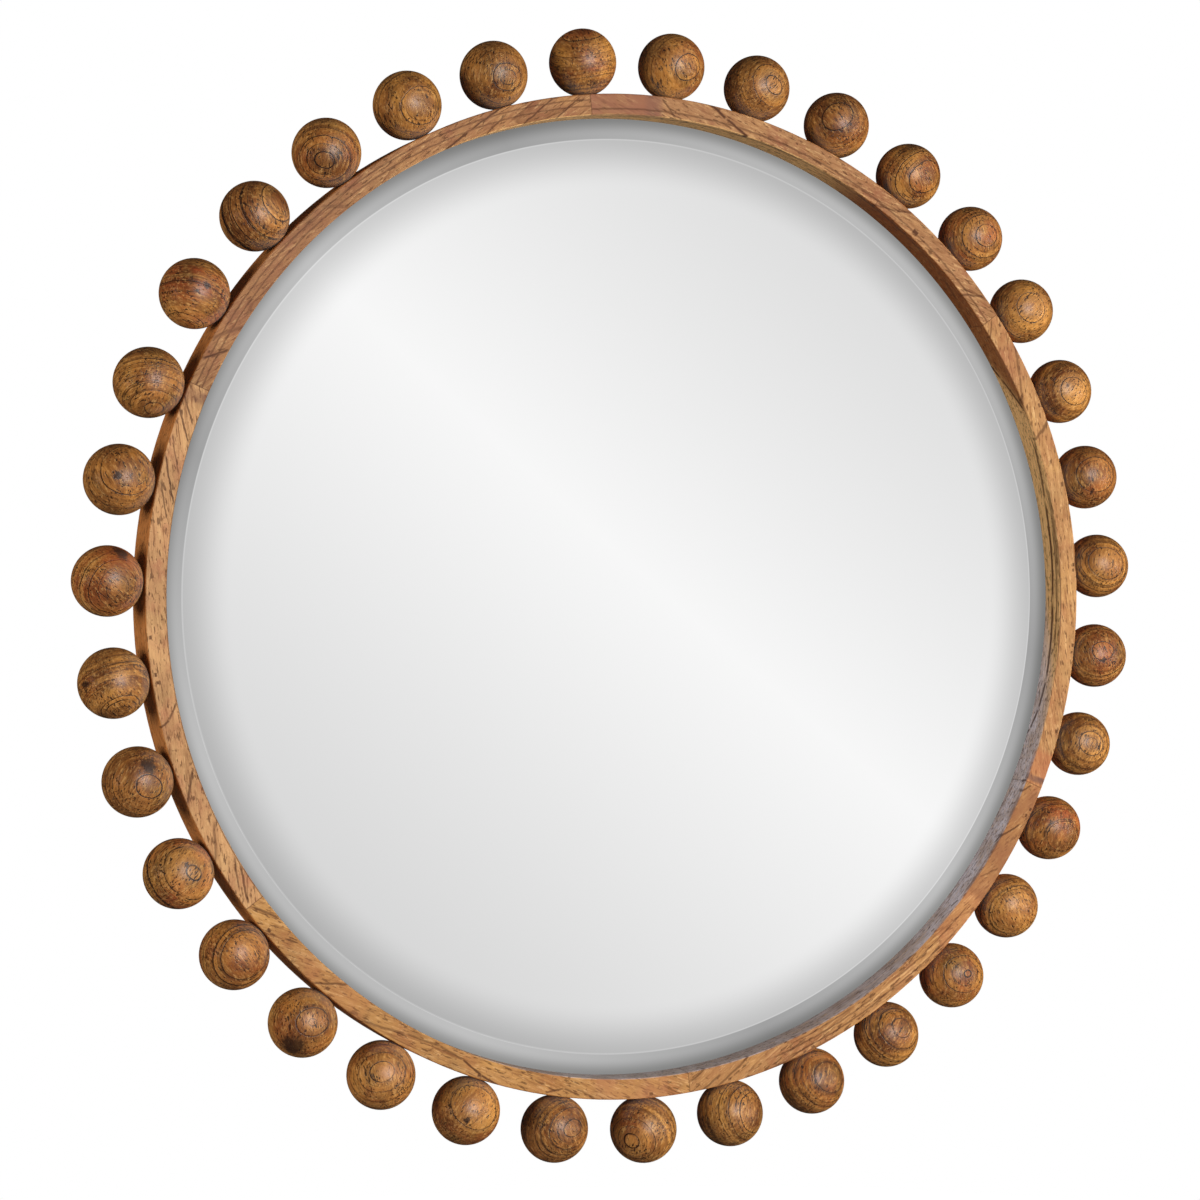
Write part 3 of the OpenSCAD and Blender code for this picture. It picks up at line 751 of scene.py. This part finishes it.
def fibreboard():
    """Raw fibreboard: matted fibres in browns, with a few pale and dark chips."""
    made, tree, shader = material("fibreboard")
    place = tree.place()
    matted = tree.noise(place, (420, 420, 420), 4.0, 0.7, (1.0, 2.0, 3.0))
    cloud = tree.noise(place, (14, 14, 14), 2.0, 0.5, (4.0, 5.0, 6.0))
    chip = tree.noise(place, (180, 180, 320), 2.0, 0.5, (9.0, 1.0, 5.0))
    base = tree.mix(matted, colour(134, 98, 66), colour(186, 148, 108))
    base = tree.tint(base, tree.step(cloud, 0.4, 0.7), 0.35, (140, 102, 70))
    base = tree.tint(base, tree.step(chip, 0.64, 0.72), 0.5, (92, 62, 40))
    base = tree.tint(base, tree.step(chip, 0.36, 0.30), 0.5, (196, 164, 124))
    tree.fill(shader, Base_Color=base, Normal=tree.bump(matted, 0.4, 0.0003), Roughness=0.85)
    return made


def dull(name, tone, dark, repeats, roughness):
    """A matte stuff in two tones, for the pieces inside."""
    made, tree, shader = material(name)
    grain = tree.noise(tree.place(), (repeats, repeats, repeats), 3.0, 0.5, (2.0, 7.0, 1.0))
    tree.fill(shader, Base_Color=tree.mix(grain, colour(*tone), colour(*dark)),
              Normal=tree.bump(grain, 0.3, 0.0002), Roughness=roughness)
    return made


# The fixings behind the board: the material's name, its tone, its blotches' tone, its roughness and the nodes
METALS = [
    ("clip_steel", (190, 190, 188), (140, 141, 142), 0.34, ["board_clips"]),
    ("screw_steel", (206, 184, 128), (160, 136, 84), 0.30, ["clip_screws", "hanger_screws"]),
    ("hanger_steel", (184, 185, 186), (136, 137, 139), 0.32, ["hanger_strap_left", "hanger_strap_right"]),
    ("hanger_wire", (196, 196, 196), (150, 150, 152), 0.24, ["hanger_ring_left", "hanger_ring_right"]),
]

# What is hidden inside: the material's name, two tones, the repeats per metre, the roughness and the nodes
HIDDEN = [
    ("dowel_wood", (206, 168, 120), (170, 130, 86), 500.0, 0.7, ["ball_dowels", "joint_dowels"]),
    ("foam_tape", (58, 58, 60), (38, 38, 40), 900.0, 0.9, ["foam_tape"]),
]


def dress_nodes():
    """Gives every CAD node its material."""
    strokes = stroke_group()
    for i in range(1, SEGMENT_COUNT + 1):
        put_on(ring_wood(i, strokes), ["ring_segment_%d" % i])
    pattern = ball_group()
    for i in range(1, BALL_COUNT + 1):
        put_on(ball_wood(i, pattern), ["ball_%02d" % i])
    put_on(mirror_silver(), ["mirror_glass"])
    put_on(fibreboard(), ["backing_board"])
    for name, tone, dark, repeats, roughness, nodes in HIDDEN:
        put_on(dull(name, tone, dark, repeats, roughness), nodes)
    for name, tone, dark, roughness, nodes in METALS:
        put_on(metal(name, tone, dark, roughness), nodes)


# Lamps: the name, the azimuth and the elevation in degrees, the distance and the size in metres, the power.
# Azimuths run from the front towards the right.
KEY_LAMP = ("key_lamp", 3, 9, 3.4, 1.8, 44)
FILL_LAMPS = [
    ("left_lamp", -78, 4, 3.2, 1.4, 50),
    ("right_lamp", 50, -5, 3.6, 1.5, 138),
    ("back_lamp", 157, 3, 3.4, 1.0, 84),
]
HARDWARE_LAMP = ("hardware_lamp", 180, 10, 3.0, 4.5, 44)


def look_at(thing, target, roll=0.0):
    """Turns a camera or lamp to face a point, and then about its own line of sight."""
    aim = (Vector(target) - thing.location).to_track_quat("-Z", "Y")
    thing.rotation_euler = (aim.to_matrix() @ Matrix.Rotation(roll, 3, "Z")).to_euler()


def add_lamp(name, azimuth, elevation, distance, size, power):
    """A round lamp that faces the ring's centre."""
    data = bpy.data.lights.new(name, "AREA")
    data.shape = "DISK"
    data.size = size
    data.energy = power
    lamp = bpy.data.objects.new(name, data)
    bpy.context.scene.collection.objects.link(lamp)
    a = math.radians(azimuth)
    e = math.radians(elevation)
    lamp.location = (distance * math.cos(e) * math.sin(a), -distance * math.cos(e) * math.cos(a),
                     distance * math.sin(e))
    look_at(lamp, (0, 0, 0))
    return lamp


def light_links(name, lamps, nodes):
    """A collection of CAD nodes that lamps are linked to."""
    linked = bpy.data.collections.new(name)
    for node in nodes:
        linked.objects.link(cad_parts[node])
    for lamp in lamps:
        lamp.light_linking.receiver_collection = linked
    return linked


def add_lamps():
    """The lamps, of which only the key lamp and the hardware's own show in glossy surfaces."""
    key = add_lamp(*KEY_LAMP)
    fills = [add_lamp(*lamp) for lamp in FILL_LAMPS]
    for lamp in fills:
        lamp.visible_glossy = False

    # These don't light the glass, so none leaves a bright disc in the mirror
    glass = light_links("unlit_glass", [key] + fills, ["mirror_glass"])
    glass.collection_objects[0].light_linking.link_state = "EXCLUDE"

    # The hardware behind has a broad lamp of its own, which its plating reflects
    light_links("hardware", [add_lamp(*HARDWARE_LAMP)], [node for *_, nodes in METALS for node in nodes])


# The room that the mirror sees: it is this bright along slanting lines, and gets darker from each line to
# halfway to the next. Behind the mirror it keeps only a share of that.
BAND_LEVEL = 0.95
BAND_SLOPE = -1.25
BAND_WIDTH = 0.25
BAND_SHIFT = 0.383
BEHIND_SHARE = 0.5
BEHIND_START = (-0.2, 0.4)

# The room that satin surfaces see: dim, with one soft light in this direction
DIM_LEVEL = 0.02
SOFT_LEVEL = 0.58
SOFT_LIGHT = (0.56, -0.80, 0.20)
SOFT_EDGE = (0.50, 0.98)

# The even light that the rest gets
EVEN_LEVEL = 0.05


def make_world():
    """White to the camera, and a soft light for the rest.

    The mirror sees a bright room with broad slanting bands. Satin surfaces see a dim room with one soft light
    at the right in front.
    """
    world = bpy.data.worlds.new("studio")
    bpy.context.scene.world = world
    world.use_nodes = True
    tree = Tree(world.node_tree)
    world.node_tree.nodes.clear()
    way = tree.node("TexCoord").outputs["Generated"]
    x, y, z = tree.split(way)
    band = tree.math("PINGPONG", tree.minus(tree.add(x, z), BAND_SHIFT), BAND_WIDTH)
    room = tree.linear(band, BAND_SLOPE, BAND_LEVEL)
    room = tree.times(room, tree.linear(tree.step(y, *BEHIND_START), BEHIND_SHARE - 1, 1.0))
    toward = tree.vectors("DOT_PRODUCT", way, SOFT_LIGHT)["Value"]
    satin = tree.linear(tree.step(toward, *SOFT_EDGE), SOFT_LEVEL, DIM_LEVEL)
    ray = tree.node("LightPath").outputs
    glossy = tree.math("MAXIMUM", ray["Is Glossy Ray"], ray["Is Transmission Ray"])
    sheen = tree.add(satin, tree.times(ray["Is Singular Ray"], tree.minus(room, satin)))
    level = tree.add(EVEN_LEVEL, tree.times(glossy, tree.minus(sheen, EVEN_LEVEL)))
    level = tree.add(level, tree.times(ray["Is Camera Ray"], tree.minus(1.0, level)))
    backdrop = tree.node("Background", Strength=level, Color=colour(255, 255, 255))
    tree.node("OutputWorld", Surface=backdrop.outputs[0])


# The floor: its height, its radius and the radii between which it fades to white, in metres, its two tones,
# and how much it glows to the camera in the middle
FLOOR_HEIGHT = -0.92
FLOOR_RADIUS = 1.7
FLOOR_FADE = (0.9, 1.6)
FLOOR_TONES = ((150, 150, 150), (158, 158, 157))
FLOOR_GLOW = 0.8


def make_floor():
    """A pale floor well below the mirror.

    It keeps a soft shadow near the middle and fades to white further out.
    """
    bpy.ops.mesh.primitive_circle_add(vertices=96, radius=FLOOR_RADIUS, fill_type="NGON",
                                      location=(0, 0, FLOOR_HEIGHT))
    floor = bpy.context.object
    floor.name = "floor"
    made, tree, shader = material("floor")
    place = tree.place()
    x, y, _ = tree.split(place)
    far = tree.step(tree.length(x, y), *FLOOR_FADE)
    grain = tree.noise(place, (30, 30, 30), 3.0)
    tones = [colour(*tone) for tone in FLOOR_TONES]
    tree.fill(shader, Base_Color=tree.mix(grain, *tones), Roughness=0.9)
    to_camera = tree.node("LightPath").outputs["Is Camera Ray"]
    strength = tree.times(to_camera, tree.linear(far, 1 - FLOOR_GLOW, FLOOR_GLOW))
    glow = tree.node("Emission", Strength=strength)
    lit = tree.node("AddShader")
    tree.give(lit.inputs[0], shader.outputs[0])
    tree.give(lit.inputs[1], glow.outputs[0])
    tree.fill(made.node_tree.nodes["Material Output"], Surface=lit.outputs[0])
    floor.data.materials.append(made)
    floor.visible_glossy = False


def add_camera():
    """The camera, at the photograph's viewing angle."""
    data = bpy.data.cameras.new("camera")
    data.sensor_width = CAMERA_SENSOR
    data.lens = CAMERA_LENS
    camera = bpy.data.objects.new("camera", data)
    bpy.context.scene.collection.objects.link(camera)
    camera.location = CAMERA_PLACE
    look_at(camera, CAMERA_AIM, math.radians(CAMERA_ROLL))
    bpy.context.scene.camera = camera


dress_nodes()

# The photograph's mirror shows nothing of what is round it, only the soft light of the room
for name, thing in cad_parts.items():
    thing.visible_glossy = name == "mirror_glass"

add_lamps()
make_world()
make_floor()
add_camera()
bpy.context.scene.view_settings.view_transform = "Standard"
